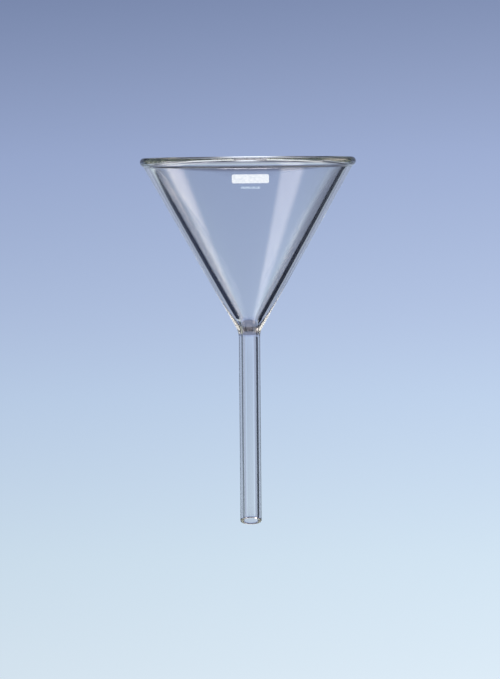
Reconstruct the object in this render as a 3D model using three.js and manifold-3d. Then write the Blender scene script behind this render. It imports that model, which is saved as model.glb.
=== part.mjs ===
// Laboratory filter funnel in borosilicate glass: an open cone with a rolled rim bead, and a
// straight stem fused to its point and ground off at a slant. Millimetres, +Z up.
//
// The origin is on the axis, in the plane where a 60 mm support ring meets the cone's outside.
// The glass is one continuous body. It is divided here at the seams where the maker works it,
// and the pieces meet face to face.

import * as THREE from 'three';
import Module from 'manifold-3d';
import { mergeVertices } from 'three/addons/utils/BufferGeometryUtils.js';

const wasm = await Module();
wasm.setup();

// Driving dimensions, in millimetres and degrees.
const RIM_DIAMETER = 100; // over the bead
const BEAD_THICKNESS = 4.3; // height of the bead's round section
const BEAD_OVERHANG = 0.4; // how far the bead stands out past the line of the cone's outside
const HALF_ANGLE = 29.5; // between the axis and the cone's outside
const RING_DIAMETER = 60; // of the support ring, which sets the origin
const WALL_AT_RIM = 4.8; // of the cone, measured level, at the middle of the bead
const STEM_DIAMETER = 10;
const BORE_DIAMETER = 6.4;
const STEM_LENGTH = 91.2; // from the cone's outside corner to the stem's longest point
const TIP_SLANT = 27; // of the ground tip face, from level
const THROAT_RISE = 4.4; // of the bore's upper end above the cone's outside corner

// Where the maker's seams lie.
const RIM_SEAM_DROP = 3.4; // below the middle of the bead
const CONE_SEAM_RISE = 9; // above the cone's outside corner
const STEM_SEAM_DROP = 6; // below the cone's outside corner

// Rounding.
const RIM_LAND = 1.5; // width of the flat top of the rim
const RIM_INSIDE_ROUND = 0.35; // height over which the rim's inner edge is rounded
const THROAT_ROUND = 4.2; // from the corner of cone and bore to each end of its rounding
const CORNER_ROUND = 2.4; // the same, where the cone's outside meets the stem

// Enamel mark on the front of the cone: a plain panel, and a bar below it.
const ENAMEL_THICKNESS = 0.15;
const ENAMEL_OFFSET = 1.1; // of the mark's middle to the right of the axis
const PANEL = { width: 16.6, height: 4, corner: 0.7, drop: 5.1 }; // drop is below mid-bead
const BAR = { width: 8.8, height: 1, corner: 0.4, drop: 10.6 };

// Fineness of the facets.
const SEGMENTS = 64; // around the axis
const BEAD_STEPS = 14; // around the bead's round outside
const ROUND_STEPS = 5; // around each smaller rounding

const RIM_RADIUS = RIM_DIAMETER / 2;
const BEAD_RADIUS = BEAD_THICKNESS / 2;
const RING_RADIUS = RING_DIAMETER / 2;
const STEM_RADIUS = STEM_DIAMETER / 2;
const BORE_RADIUS = BORE_DIAMETER / 2;
const SLOPE = Math.tan(THREE.MathUtils.degToRad(HALF_ANGLE)); // radius gained per height

const BEAD_Z = (RIM_RADIUS - BEAD_OVERHANG - RING_RADIUS) / SLOPE; // middle of the bead
const CORNER_Z = (STEM_RADIUS - RING_RADIUS) / SLOPE; // the cone's outside meets the stem
const THROAT_Z = CORNER_Z + THROAT_RISE; // the cone's inside meets the bore
const RIM_SEAM_Z = BEAD_Z - RIM_SEAM_DROP;
const CONE_SEAM_Z = CORNER_Z + CONE_SEAM_RISE;
const STEM_SEAM_Z = CORNER_Z - STEM_SEAM_DROP;
const TIP_Z = CORNER_Z - STEM_LENGTH; // the stem's longest point
const RIM_BORE_RADIUS = RIM_RADIUS - BEAD_OVERHANG - WALL_AT_RIM;
const INNER_SLOPE = (RIM_BORE_RADIUS - BORE_RADIUS) / (BEAD_Z - THROAT_Z);

const point = (radius, z) => new THREE.Vector2(radius, z);
const onOutside = (z) => point(RING_RADIUS + z * SLOPE, z);
const onInside = (z) => point(BORE_RADIUS + (z - THROAT_Z) * INNER_SLOPE, z);

// Solid of revolution about Z. Its section is a list of (radius, height) points that runs up
// the outside and down the inside, and is closed here.
function turned(section) {
  const geometry = new THREE.LatheGeometry([...section, section[0].clone()], SEGMENTS);
  return geometry.rotateX(Math.PI / 2);
}

// Curve that rounds a section's corner, starting and ending `cut` away from it.
function rounded(from, corner, to, cut) {
  const start = corner.clone().add(from.clone().sub(corner).setLength(cut));
  const end = corner.clone().add(to.clone().sub(corner).setLength(cut));
  return new THREE.QuadraticBezierCurve(start, corner, end).getPoints(ROUND_STEPS);
}

function manifoldOf(geometry) {
  const bare = geometry.clone();
  bare.deleteAttribute('normal');
  bare.deleteAttribute('uv');
  const merged = mergeVertices(bare);
  const vertProperties = new Float32Array(merged.attributes.position.array);
  const triVerts = new Uint32Array(merged.index.array);
  return new wasm.Manifold(new wasm.Mesh({ numProp: 3, vertProperties, triVerts }));
}

function geometryOf(manifold) {
  const { vertProperties, triVerts } = manifold.getMesh();
  const geometry = new THREE.BufferGeometry();
  geometry.setAttribute('position', new THREE.BufferAttribute(vertProperties, 3));
  geometry.setIndex(new THREE.BufferAttribute(triVerts, 1));
  geometry.computeVertexNormals();
  return geometry;
}

// Angle on the bead's round section at which the cone's outside runs into it from below.
function notchAngle() {
  const offset = BEAD_RADIUS - BEAD_OVERHANG;
  const square = 1 + SLOPE ** 2;
  const root = Math.sqrt((SLOPE * offset) ** 2 - square * (offset ** 2 - BEAD_RADIUS ** 2));
  return Math.asin((-SLOPE * offset - root) / square / BEAD_RADIUS);
}

// The rolled rim: a round bead outside, a narrow flat land on top and a rounded inner edge.
function rimBead() {
  const bead = new THREE.EllipseCurve(
    RIM_RADIUS - BEAD_RADIUS, BEAD_Z, BEAD_RADIUS, BEAD_RADIUS, notchAngle(), Math.PI / 2);
  const topZ = BEAD_Z + BEAD_RADIUS;
  const landEdge = point(RIM_RADIUS - BEAD_RADIUS - RIM_LAND, topZ);
  const edgeRound = new THREE.QuadraticBezierCurve(
    landEdge, onInside(topZ), onInside(topZ - RIM_INSIDE_ROUND));
  return turned([
    onOutside(RIM_SEAM_Z),
    ...bead.getPoints(BEAD_STEPS),
    ...edgeRound.getPoints(ROUND_STEPS),
    onInside(RIM_SEAM_Z),
  ]);
}

function coneWall() {
  return turned([
    onOutside(CONE_SEAM_Z),
    onOutside(RIM_SEAM_Z),
    onInside(RIM_SEAM_Z),
    onInside(CONE_SEAM_Z),
  ]);
}

// The fused joint: the cone's point closes in on the stem's tubing, outside and inside.
function throatSeal() {
  const stemTop = point(STEM_RADIUS, STEM_SEAM_Z);
  const boreTop = point(BORE_RADIUS, STEM_SEAM_Z);
  const coneOutside = onOutside(CONE_SEAM_Z);
  const coneInside = onInside(CONE_SEAM_Z);
  return turned([
    stemTop,
    ...rounded(stemTop, onOutside(CORNER_Z), coneOutside, CORNER_ROUND),
    coneOutside,
    coneInside,
    ...rounded(coneInside, onInside(THROAT_Z), boreTop, THROAT_ROUND),
    boreTop,
  ]);
}

// Straight tubing, ground off at a slant that faces the front, so its back is the longest.
function stemTube() {
  const tube = turned([
    point(STEM_RADIUS, TIP_Z),
    point(STEM_RADIUS, STEM_SEAM_Z),
    point(BORE_RADIUS, STEM_SEAM_Z),
    point(BORE_RADIUS, TIP_Z),
  ]);
  const slant = THREE.MathUtils.degToRad(TIP_SLANT);
  const size = 4 * STEM_DIAMETER;
  const waste = new THREE.BoxGeometry(size, size, size).translate(0, 0, -size / 2);
  waste.rotateX(-slant).translate(0, STEM_RADIUS, TIP_Z);
  return geometryOf(manifoldOf(tube).subtract(manifoldOf(waste)));
}

function roundedRectangle({ width, height, corner }) {
  const shape = new THREE.Shape();
  const right = width / 2 - corner;
  const top = height / 2 - corner;
  shape.absarc(right, top, corner, 0, Math.PI / 2);
  shape.absarc(-right, top, corner, Math.PI / 2, Math.PI);
  shape.absarc(-right, -top, corner, Math.PI, Math.PI * 1.5);
  shape.absarc(right, -top, corner, Math.PI * 1.5, Math.PI * 2);
  return shape;
}

// A layer of enamel that lies on the front of the cone, trimmed to a rounded rectangle.
function enamel(mark) {
  const topZ = BEAD_Z - mark.drop;
  const layer = turned([
    onOutside(topZ - 2 * mark.height).add(point(ENAMEL_THICKNESS, 0)),
    onOutside(topZ + mark.height).add(point(ENAMEL_THICKNESS, 0)),
    onOutside(topZ + mark.height),
    onOutside(topZ - 2 * mark.height),
  ]);
  const trim = new THREE.ExtrudeGeometry(roundedRectangle(mark), {
    depth: RIM_RADIUS, bevelEnabled: false, curveSegments: ROUND_STEPS,
  });
  trim.rotateX(Math.PI / 2).translate(ENAMEL_OFFSET, 0, topZ - mark.height / 2);
  return geometryOf(manifoldOf(layer).intersect(manifoldOf(trim)));
}

const glass = () => new THREE.MeshStandardMaterial({
  color: 0xd9e4e8, roughness: 0.03, metalness: 0, transparent: true, opacity: 0.35,
});
const whiteEnamel = () => new THREE.MeshStandardMaterial({
  color: 0xeef1f4, roughness: 0.45, metalness: 0,
});

function part(name, geometry, material) {
  const mesh = new THREE.Mesh(geometry, material);
  mesh.name = name;
  return mesh;
}

const funnel = new THREE.Group();
funnel.add(
  part('rim_bead', rimBead(), glass()),
  part('cone_wall', coneWall(), glass()),
  part('throat_seal', throatSeal(), glass()),
  part('stem_tube', stemTube(), glass()),
  part('enamel_panel', enamel(PANEL), whiteEnamel()),
  part('enamel_bar', enamel(BAR), whiteEnamel()),
);

export default funnel;
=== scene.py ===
"""Looks of a laboratory filter funnel: clear borosilicate glass and a fired enamel mark.

The glass is one continuous body in reality, so one fine mesh stands for the four glass solids
of the frame. Metres, +Z up, the front of the funnel towards -Y.
"""

import math

import bpy
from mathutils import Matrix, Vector


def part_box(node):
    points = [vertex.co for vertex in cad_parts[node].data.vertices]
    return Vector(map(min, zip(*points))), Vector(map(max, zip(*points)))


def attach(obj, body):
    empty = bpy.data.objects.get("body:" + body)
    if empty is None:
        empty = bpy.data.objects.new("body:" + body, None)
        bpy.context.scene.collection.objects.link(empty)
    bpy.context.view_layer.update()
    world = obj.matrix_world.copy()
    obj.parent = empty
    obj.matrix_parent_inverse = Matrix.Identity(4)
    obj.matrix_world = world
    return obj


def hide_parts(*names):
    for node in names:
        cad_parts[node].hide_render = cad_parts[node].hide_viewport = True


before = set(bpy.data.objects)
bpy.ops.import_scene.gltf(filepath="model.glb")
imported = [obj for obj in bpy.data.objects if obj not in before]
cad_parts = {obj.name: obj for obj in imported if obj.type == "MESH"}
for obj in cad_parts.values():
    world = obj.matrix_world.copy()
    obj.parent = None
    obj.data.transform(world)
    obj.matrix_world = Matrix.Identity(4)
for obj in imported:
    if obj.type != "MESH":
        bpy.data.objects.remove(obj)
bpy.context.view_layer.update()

MM = 0.001

# The seams, rim and tip, from the boxes of the frame's solids.
RIM_LOW, RIM_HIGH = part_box("rim_bead")
CONE_LOW, CONE_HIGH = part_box("cone_wall")
SEAL_LOW, SEAL_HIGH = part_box("throat_seal")
STEM_LOW, STEM_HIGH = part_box("stem_tube")

RIM_RADIUS = RIM_HIGH.x
RIM_TOP = RIM_HIGH.z
CONE_SEAM = CONE_LOW.z
STEM_SEAM = SEAL_LOW.z
TIP = STEM_LOW.z
STEM_RADIUS = STEM_HIGH.x
SLOPE = (CONE_HIGH.x - SEAL_HIGH.x) / (CONE_HIGH.z - CONE_SEAM)  # radius gained per height
CORNER = CONE_SEAM - (SEAL_HIGH.x - STEM_RADIUS) / SLOPE  # the cone's outside meets the stem

# The sizes that only show in a section through the solids.
BEAD_RADIUS = 2.15 * MM
BORE_RADIUS = 3.2 * MM
WALL_AT_RIM = 4.8 * MM  # measured level, at the middle of the bead
THROAT_RISE = 4.4 * MM  # of the bore's upper end above the corner
TIP_SLANT = math.radians(27)
RIM_LAND = 1.5 * MM
RIM_INSIDE_ROUND = 0.35 * MM
THROAT_ROUND = 4.2 * MM
CORNER_ROUND = 2.4 * MM

# Roundings of the glass that the frame's solids leave sharp.
NOTCH_ROUND = 0.45 * MM  # where the cone's outside runs into the bead
TIP_ROUND = 0.6 * MM  # of both edges of the tip's ground face, softened in a flame

BEAD = RIM_TOP - BEAD_RADIUS  # height of the middle of the bead
THROAT = CORNER + THROAT_RISE

# Fineness of the glass mesh.
SEGMENTS = 256  # around the axis
RUN_STEPS = 40  # along each straight run of the section
BEAD_STEPS = 40
NOTCH_STEPS = 6
NOTCH_SPAN = 4  # steps of the bead that the notch's rounding takes the place of
LAND_STEPS = 2
EDGE_STEPS = 12  # round the rim's inner edge
CORNER_STEPS = 24  # round the corner and the throat
TIP_STEPS = 8


def outside(z):
    return Vector((STEM_RADIUS + (z - CORNER) * SLOPE, z))


INNER_SLOPE = (outside(BEAD).x - WALL_AT_RIM - BORE_RADIUS) / (BEAD - THROAT)


def inside(z):
    return Vector((BORE_RADIUS + (z - THROAT) * INNER_SLOPE, z))


def arc(centre, radius, start, end, steps):
    """Points of a circle's arc, with angles in radians from the outward direction."""
    turns = [start + (end - start) * i / steps for i in range(steps + 1)]
    return [centre + radius * Vector((math.cos(t), math.sin(t))) for t in turns]


def line(start, end, steps):
    return [start.lerp(end, i / steps) for i in range(steps + 1)]


def curve(start, corner, end, steps):
    """A quadratic curve that leaves start and reaches end along the sides of the corner."""
    shares = [i / steps for i in range(steps + 1)]
    return [start * (1 - t) ** 2 + corner * (2 * t * (1 - t)) + end * t ** 2 for t in shares]


def rounded(before, corner, after, cut, steps):
    start = corner + (before - corner).normalized() * cut
    end = corner + (after - corner).normalized() * cut
    return curve(start, corner, end, steps)


def notch_angle():
    """Angle on the bead's circle at which the line of the cone's outside meets it."""
    offset = outside(BEAD).x - (RIM_RADIUS - BEAD_RADIUS)
    square = 1 + SLOPE ** 2
    root = math.sqrt((SLOPE * offset) ** 2 - square * (offset ** 2 - BEAD_RADIUS ** 2))
    return math.asin((-SLOPE * offset - root) / square / BEAD_RADIUS)


def glass_section():
    """Closed outline of (radius, height) points: up the outside, over the rim, down the inside."""
    stem_outside = Vector((STEM_RADIUS, STEM_SEAM))
    stem_inside = Vector((BORE_RADIUS, STEM_SEAM))
    centre = Vector((RIM_RADIUS - BEAD_RADIUS, BEAD))
    bead = arc(centre, BEAD_RADIUS, notch_angle(), math.pi / 2, BEAD_STEPS)
    notch = rounded(outside(0), bead[0], bead[NOTCH_SPAN], NOTCH_ROUND, NOTCH_STEPS)
    land = Vector((centre.x - RIM_LAND, RIM_TOP))
    edge = curve(land, inside(RIM_TOP), inside(RIM_TOP - RIM_INSIDE_ROUND), EDGE_STEPS)
    cone_outside = outside(CONE_SEAM)
    cone_inside = inside(CONE_SEAM)
    corner = rounded(stem_outside, outside(CORNER), cone_outside, CORNER_ROUND, CORNER_STEPS)
    throat = rounded(cone_inside, inside(THROAT), stem_inside, THROAT_ROUND, CORNER_STEPS)
    tip_outside = Vector((STEM_RADIUS, TIP))
    tip_inside = Vector((BORE_RADIUS, TIP))
    outer = rounded(tip_inside, tip_outside, stem_outside, TIP_ROUND, TIP_STEPS)
    inner = rounded(stem_inside, tip_inside, tip_outside, TIP_ROUND, TIP_STEPS)
    outline = outer + line(outer[-1], corner[0], RUN_STEPS)[1:-1] + corner
    outline += line(corner[-1], notch[0], RUN_STEPS)[1:-1] + notch
    outline += bead[NOTCH_SPAN + 1:] + line(bead[-1], land, LAND_STEPS)[1:-1] + edge
    outline += line(edge[-1], throat[0], RUN_STEPS)[1:-1] + throat
    return outline + line(throat[-1], inner[0], RUN_STEPS)[1:] + inner[1:]


def slanted(point):
    """Draws a point of the stem up so that the stem ends at the slant of the ground tip."""
    if point.z > STEM_SEAM:
        return point
    end = TIP + (STEM_RADIUS - point.y) * math.tan(TIP_SLANT)
    share = (STEM_SEAM - point.z) / (STEM_SEAM - TIP)
    return Vector((point.x, point.y, STEM_SEAM - share * (STEM_SEAM - end)))


def mesh_of(name, verts, faces):
    mesh = bpy.data.meshes.new(name)
    mesh.from_pydata(verts, [], faces)
    mesh.update()
    mesh.shade_smooth()
    return mesh


def new_object(name, mesh):
    obj = bpy.data.objects.new(name, mesh)
    bpy.context.scene.collection.objects.link(obj)
    return obj


def glass_mesh():
    """The section turned about the axis."""
    section = glass_section()
    count = len(section)
    verts, faces = [], []
    for i in range(SEGMENTS):
        turn = 2 * math.pi * i / SEGMENTS
        for p in section:
            verts.append(slanted(Vector((p.x * math.cos(turn), p.x * math.sin(turn), p.y))))
    for i in range(SEGMENTS):
        j = (i + 1) % SEGMENTS
        for k in range(count):
            m = (k + 1) % count
            faces.append((i * count + k, j * count + k, j * count + m, i * count + m))
    return mesh_of("glass_body", verts, faces)


def noise(nodes, links, scale, detail, stretch=(1, 1, 1)):
    """A noise texture fixed to the object, in cycles per metre, drawn out along each axis."""
    place = nodes.new("ShaderNodeTexCoord")
    mapping = nodes.new("ShaderNodeMapping")
    mapping.inputs["Scale"].default_value = stretch
    texture = nodes.new("ShaderNodeTexNoise")
    texture.inputs["Scale"].default_value = scale
    texture.inputs["Detail"].default_value = detail
    links.new(place.outputs["Object"], mapping.inputs["Vector"])
    links.new(mapping.outputs["Vector"], texture.inputs["Vector"])
    return texture.outputs["Fac"]


def spread(nodes, links, source, low, high, out_low, out_high):
    """Maps the part of a texture between low and high onto out_low to out_high."""
    ramp = nodes.new("ShaderNodeMapRange")
    ramp.inputs["From Min"].default_value = low
    ramp.inputs["From Max"].default_value = high
    ramp.inputs["To Min"].default_value = out_low
    ramp.inputs["To Max"].default_value = out_high
    links.new(source, ramp.inputs["Value"])
    return ramp.outputs["Result"]


def bumped(nodes, links, source, depth, strength):
    """A surface normal tilted as if the texture stood up to depth out of the surface."""
    bump = nodes.new("ShaderNodeBump")
    bump.inputs["Distance"].default_value = depth
    bump.inputs["Strength"].default_value = strength
    links.new(source, bump.inputs["Height"])
    return bump.outputs["Normal"]


GLASS_IOR = 1.473  # of borosilicate glass
GLASS_TINT = (0.72, 0.74, 0.66, 1)
GLASS_DENSITY = 18.0
WIPE_SCALE = 240
WIPE_ROUGHNESS = 0.02
WAVE_SCALE = 110
WAVE_DEPTH = 0.01 * MM
WIPE_STRETCH = (1, 1, 0.25)  # drawn out along the funnel's axis
WAVE_STRETCH = (1, 1, 0.3)


def clear_glass():
    """Borosilicate glass: drawing waves in the surface, faint wipe marks, olive where deep."""
    mat = bpy.data.materials.new("clear_glass")
    mat.use_nodes = True
    nodes, links = mat.node_tree.nodes, mat.node_tree.links
    shader = nodes["Principled BSDF"]
    shader.inputs["Base Color"].default_value = (1, 1, 1, 1)
    shader.inputs["IOR"].default_value = GLASS_IOR
    shader.inputs["Transmission Weight"].default_value = 1.0
    wipes = noise(nodes, links, WIPE_SCALE, 5, WIPE_STRETCH)
    roughness = spread(nodes, links, wipes, 0.6, 0.8, 0.0, WIPE_ROUGHNESS)
    links.new(roughness, shader.inputs["Roughness"])
    waves = noise(nodes, links, WAVE_SCALE, 2, WAVE_STRETCH)
    links.new(bumped(nodes, links, waves, WAVE_DEPTH, 0.5), shader.inputs["Normal"])
    absorb = nodes.new("ShaderNodeVolumeAbsorption")
    absorb.inputs["Color"].default_value = GLASS_TINT
    absorb.inputs["Density"].default_value = GLASS_DENSITY
    links.new(absorb.outputs["Volume"], nodes["Material Output"].inputs["Volume"])
    return mat


glass = new_object("glass_body", glass_mesh())
glass.data.materials.append(clear_glass())
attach(glass, "root")
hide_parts("rim_bead", "cone_wall", "throat_seal", "stem_tube")


CLOUD_SCALE = 900
PEEL_SCALE = 4000
PEEL_DEPTH = 0.02 * MM
PANEL_THIN = (0.8, 0.83, 0.87, 1)
PANEL_THICK = (0.93, 0.94, 0.95, 1)
BAR_THIN = (0.36, 0.46, 0.62, 1)
BAR_THICK = (0.56, 0.65, 0.78, 1)


def fired_enamel(name, thin, thick):
    """Fired enamel: cloudy between two tones, with an orange-peel surface."""
    mat = bpy.data.materials.new(name)
    mat.use_nodes = True
    nodes, links = mat.node_tree.nodes, mat.node_tree.links
    shader = nodes["Principled BSDF"]
    mix = nodes.new("ShaderNodeMix")
    mix.data_type = "RGBA"
    mix.inputs["A"].default_value = thin
    mix.inputs["B"].default_value = thick
    clouds = noise(nodes, links, CLOUD_SCALE, 4)
    links.new(spread(nodes, links, clouds, 0.35, 0.65, 0, 1), mix.inputs["Factor"])
    links.new(mix.outputs["Result"], shader.inputs["Base Color"])
    links.new(spread(nodes, links, clouds, 0.3, 0.7, 0.38, 0.5), shader.inputs["Roughness"])
    peel = noise(nodes, links, PEEL_SCALE, 3)
    links.new(bumped(nodes, links, peel, PEEL_DEPTH, 0.4), shader.inputs["Normal"])
    return mat


def coat(node, mat):
    """Gives a solid of the frame its material in place of the plain one it came with."""
    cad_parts[node].data.materials.clear()
    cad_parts[node].data.materials.append(mat)


coat("enamel_panel", fired_enamel("white_enamel", PANEL_THIN, PANEL_THICK))
coat("enamel_bar", fired_enamel("faint_enamel", BAR_THIN, BAR_THICK))


# The camera, just above the level of the rim and looking a little down.
CAMERA_DISTANCE = 1.3
CAMERA_HEIGHT = RIM_TOP + 0.0110
CAMERA_SIDE = 0.0011
CAMERA_TILT = math.radians(-4.206)
CAMERA_ROLL = math.radians(0.50)
SENSOR_WIDTH = 36  # mm
FOCAL_LENGTH = 148.6  # mm


def make_camera():
    data = bpy.data.cameras.new("camera")
    data.lens = FOCAL_LENGTH
    data.sensor_width = SENSOR_WIDTH
    data.dof.use_dof = False
    camera = new_object("camera", data)
    camera.location = (CAMERA_SIDE, -CAMERA_DISTANCE, CAMERA_HEIGHT)
    camera.rotation_euler = (math.radians(90) + CAMERA_TILT, CAMERA_ROLL, 0)
    bpy.context.scene.camera = camera


make_camera()


def screen_to_light(share):
    """The sRGB curve, from a share of full brightness on a screen to a share of full light."""
    if share <= 0.04045:
        return share / 12.92
    return ((share + 0.055) / 1.055) ** 2.4


def linear(rgb, strength=1.0):
    """The light of a colour that is given as it looks on a screen, 0 to 255."""
    return [strength * screen_to_light(value / 255) for value in rgb]


# The studio: a cove of pale paper that glows, with the light and shade on the paper painted into
# its glow, and the cards and lights round the funnel.
FLOOR_HEIGHT = -1.1
FLOOR_RADIUS = 2.0
RISE_RADIUS = 1.8  # of the curve from floor to wall
DOME_HEIGHT = 1.6
COVE_RING = 96  # steps around the axis
FLOOR_STEPS = 20
RISE_STEPS = 60
DOME_STEPS = 24
COVE_SIDE_LIGHT = 4.5  # painted light: how much lighter the right edge of the picture is than its middle
COVE_EDGE = 0.089  # sideways slope of sight at the edge of the picture
COVE = [  # elevation seen from the camera, in degrees, and the paper's painted light there, white low down and dimmer higher up
    (-90, (255, 255, 255)),
    (-20, (255, 255, 255)),
    (-15.6, (245, 249, 253)),
    (-11.0, (216, 231, 243)),
    (-8.6, (206, 224, 239)),
    (-5.3, (187, 206, 232)),
    (-3.7, (176, 193, 224)),
    (-0.5, (155, 171, 208)),
    (1.2, (140, 155, 191)),
    (2.8, (125, 140, 176)),
    (5, (108, 120, 152)),
    (9, (100, 107, 127)),
    (90, (105, 108, 118)),
]


def cove_light(elevation, side):
    """Painted light of the paper at an elevation; side is -1 at the left edge and 1 at the right,
    where it is painted lighter.
    """
    for (low, below), (high, above) in zip(COVE, COVE[1:]):
        if elevation <= high:
            share = (elevation - low) / (high - low)
            return [a + (b - a) * share + COVE_SIDE_LIGHT * side for a, b in zip(below, above)]
    return COVE[-1][1]


def cove_profile():
    """The paper's section: level floor, curve up, and a dome over the top."""
    radius = FLOOR_RADIUS + RISE_RADIUS
    rise = Vector((FLOOR_RADIUS, FLOOR_HEIGHT + RISE_RADIUS))
    profile = line(Vector((0, FLOOR_HEIGHT)), Vector((FLOOR_RADIUS, FLOOR_HEIGHT)), FLOOR_STEPS)
    profile += arc(rise, RISE_RADIUS, -math.pi / 2, 0, RISE_STEPS)[1:]
    for i in range(1, DOME_STEPS + 1):
        turn = math.pi / 2 * i / DOME_STEPS
        profile.append(Vector((radius * math.cos(turn), rise.y + DOME_HEIGHT * math.sin(turn))))
    return profile


def shade(mesh, name, colours):
    """Stores one colour per vertex; the emitting materials read it."""
    attribute = mesh.color_attributes.new(name, "FLOAT_COLOR", "POINT")
    for item, colour in zip(attribute.data, colours):
        item.color = colour


def cove_mesh():
    profile = cove_profile()
    count = len(profile)
    verts, faces, colours = [], [], []
    for i in range(COVE_RING):
        turn = 2 * math.pi * i / COVE_RING
        for p in profile:
            reach = p.x + CAMERA_DISTANCE
            verts.append((p.x * math.cos(turn), p.x * math.sin(turn), p.y))
            # each vertex gets the paper's painted light, by its elevation and side as seen from
            # the camera
            elevation = math.degrees(math.atan2(p.y - CAMERA_HEIGHT, reach))
            side = p.x * math.cos(turn) / reach / COVE_EDGE
            colours.append((*linear(cove_light(elevation, max(-1, min(1, side)))), 1))
    for i in range(COVE_RING):
        j = (i + 1) % COVE_RING
        for k in range(count - 1):
            faces.append((i * count + k, i * count + k + 1, j * count + k + 1, j * count + k))
    mesh = mesh_of("cove", verts, faces)
    shade(mesh, "shade", colours)
    return mesh


def glowing(name, attribute):
    """A surface that shines in the colour of its vertices and is clear where their alpha is 0."""
    mat = bpy.data.materials.new(name)
    mat.use_nodes = True
    nodes, links = mat.node_tree.nodes, mat.node_tree.links
    nodes.remove(nodes["Principled BSDF"])
    colour = nodes.new("ShaderNodeAttribute")
    colour.attribute_name = attribute
    light = nodes.new("ShaderNodeEmission")
    clear = nodes.new("ShaderNodeBsdfTransparent")
    mix = nodes.new("ShaderNodeMixShader")
    links.new(colour.outputs["Color"], light.inputs["Color"])
    links.new(colour.outputs["Alpha"], mix.inputs["Fac"])
    links.new(clear.outputs[0], mix.inputs[1])
    links.new(light.outputs[0], mix.inputs[2])
    links.new(mix.outputs[0], nodes["Material Output"].inputs["Surface"])
    return mat


# The cove's paper glows with its painted light and shade instead of being lit.
cove = new_object("cove", cove_mesh())
cove.data.materials.append(glowing("cove_paper_light", "shade"))

STUDIO_CENTRE = Vector((0, 0, -0.05))
CARD_STEP = 1.5  # degrees to a card's cell
CARD_CELLS = 6  # least number of cells each way


def smooth(t):
    """Eases from 0 to 1 and stays there on either side."""
    t = min(max(t, 0), 1)
    return t * t * (3 - 2 * t)


def card(name, azimuths, elevations, distance, colour, soft=0.15, cover=1.0):
    """A light or a dark card round the funnel, which shows only in its glass.

    Azimuth 0 is behind the funnel and 90 to its right. The elevations are those at the first
    and at the last azimuth. The edges fade over the share `soft` of the card's width and height,
    and `cover` is the share of the light behind the card that it stops.
    """
    if not isinstance(elevations[0], tuple):
        elevations = (elevations, elevations)
    (low0, high0), (low1, high1) = elevations
    columns = max(int(abs(azimuths[1] - azimuths[0]) / CARD_STEP), CARD_CELLS)
    rows = max(int(max(high0 - low0, high1 - low1) / CARD_STEP), CARD_CELLS)
    verts, faces, colours = [], [], []
    for j in range(rows + 1):
        v = j / rows
        for i in range(columns + 1):
            u = i / columns
            low = low0 + (low1 - low0) * u
            high = high0 + (high1 - high0) * u
            tall = math.radians(low + (high - low) * v)
            turn = math.radians(azimuths[0] + (azimuths[1] - azimuths[0]) * u)
            level = math.cos(tall)
            aim = Vector((math.sin(turn) * level, math.cos(turn) * level, math.sin(tall)))
            verts.append(STUDIO_CENTRE + distance * aim)
            fade = smooth(min(u, 1 - u) / soft) * smooth(min(v, 1 - v) / soft)
            colours.append((*colour, cover * fade))
    width = columns + 1
    for j in range(rows):
        for i in range(columns):
            a = j * width + i
            faces.append((a, a + 1, a + width + 1, a + width))
    mesh = mesh_of(name, verts, faces)
    shade(mesh, "glow", colours)
    mesh.materials.append(glowing(name, "glow"))
    obj = new_object(name, mesh)
    obj.visible_camera = False
    obj.visible_shadow = False
    obj.visible_diffuse = False
    return obj


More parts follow.
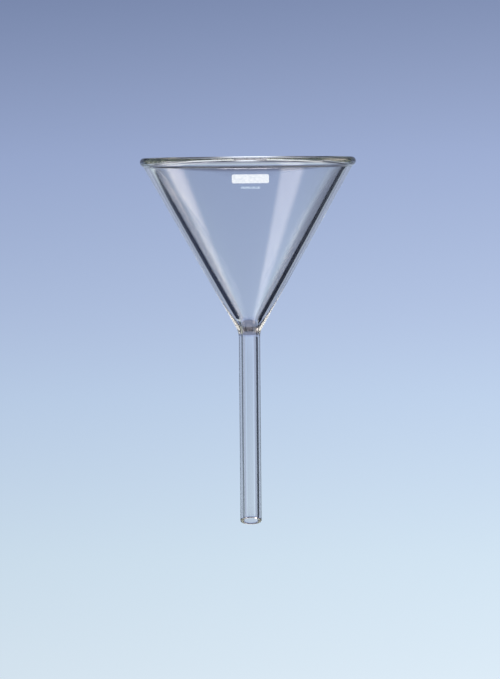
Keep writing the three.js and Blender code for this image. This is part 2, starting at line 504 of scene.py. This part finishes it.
def dark_cards():
    """The backdrop is bright only straight behind the glass; beyond it the room is dark.

    The veil stops a quarter of the light low behind the funnel.
    """
    card("dim_left", (-32, -9), ((-22, 0), (-14, 2)), 1.2, linear((168, 178, 202)), 0.3)
    card("dim_right", (9, 32), ((-14, 2), (-22, 0)), 1.2, linear((160, 170, 195)), 0.3)
    card("veil", (-10, 10), (-14, -3.5), 1.3, linear((120, 122, 140)), 0.2, 0.25)
    card("dim_floor", (-30, 30), (-27, -11), 1.25, linear((166, 174, 194)), 0.15)
    card("mat_low", (-34, 30), (-46, -21), 1.3, linear((66, 68, 86)))
    card("mat_right", (4, 50), (-42, -21), 1.15, linear((58, 62, 72)), 0.2)
    # Painted shade: a dark sheet low under the front of the funnel, seen only in its glass, stands
    # for the shade below it.
    card("shade_below_front", (60, 300), (-85, -38), 0.6, linear((60, 64, 74)), 0.05)
    card("flag_left", (-27, -62), ((-24, -9), (-38, -20)), 1.0, linear((22, 30, 56)), 0.1)
    card("flag_left_low", (-56, -112), ((-48, -20), (-50, -26)), 0.85, linear((60, 64, 74)), 0.1)
    card("flag_right", (28, 70), ((-34, -1), (-38, 1)), 1.0, linear((10, 14, 34)), 0.08)
    card("flag_right_low", (60, 112), ((-48, -20), (-50, -26)), 0.85, linear((50, 54, 66)), 0.1)
    card("panel_left", (-38, -62), ((-10, 8), (-16, 8)), 1.2, linear((92, 100, 118)), 0.1)
    card("panel_far", (-60, -80), ((-14, 8), (-16, 8)), 1.2, linear((90, 98, 100)), 0.1)
    card("panel_high", (-32, -66), (8, 28), 1.2, linear((165, 168, 158)), 0.12)
    card("panel_right", (34, 70), (1, 20), 1.22, linear((40, 44, 60)))
    card("band_behind", (-30, 34), (3, 16), 1.22, linear((114, 122, 148)))
    card("high_behind", (-26, 14), (16, 34), 1.15, linear((30, 32, 40)))
    card("high_right", (14, 40), (14, 32), 1.55, linear((108, 108, 112)))
    card("high_left", (-72, -24), ((26, 44), (26, 38)), 1.5, linear((64, 70, 86)), 0.1)


def bright_cards():
    """Soft lights at both sides, overhead and high behind, and three spots low behind."""
    card("spot_low", (-6, 5), (-48, -26), 1.0, linear((236, 242, 255), 1.6), 0.35)
    card("spot_low_left", (-34, -11), (-62, -37), 1.0, linear((226, 236, 255), 1.2), 0.2)
    card("spot_low_right", (11, 25), (-62, -37), 1.0, linear((226, 236, 255), 1.2), 0.2)
    card("box_left", (-126, -82), (28, 68), 1.5, linear((255, 247, 244), 3.0), 0.22)
    card("box_right", (36, 78), (10, 50), 1.5, linear((255, 241, 232), 3.0), 0.3)
    card("side_left", (-98, -74), (12, 37), 1.1, linear((250, 240, 255), 3.4), 0.2)
    card("side_right", (74, 98), (12, 37), 1.1, linear((250, 240, 255), 3.4), 0.2)
    card("overhead", (-180, 180), (70, 90), 1.4, linear((250, 242, 255), 2.8), 0.02)
    card("back_high", (-24, 30), (34, 60), 1.6, linear((255, 255, 255), 1.3), 0.1)


def fill_card():
    """Lights the enamel from the front and stays out of the glass."""
    fill = card("fill", (150, 210), (5, 50), 1.0, linear((255, 255, 255), 2.6), 0.05)
    fill.visible_diffuse = True
    fill.visible_glossy = False
    fill.visible_transmission = False


dark_cards()
bright_cards()
fill_card()

GLASS_BOUNCES = 64  # with few, the light that is caught in the rim's bead turns black
CARD_BOUNCES = 24  # through the cards, which are clear where they fade
WORLD_BLUE = (0.5, 0.6, 0.8, 1)


def make_world():
    world = bpy.data.worlds.new("studio")
    world.use_nodes = True
    world.node_tree.nodes["Background"].inputs["Color"].default_value = WORLD_BLUE
    bpy.context.scene.world = world


def set_bounces():
    cycles = bpy.context.scene.cycles
    cycles.max_bounces = GLASS_BOUNCES
    cycles.transmission_bounces = GLASS_BOUNCES
    cycles.glossy_bounces = GLASS_BOUNCES
    cycles.transparent_max_bounces = CARD_BOUNCES


make_world()
set_bounces()
bpy.context.scene.view_settings.view_transform = "Standard"
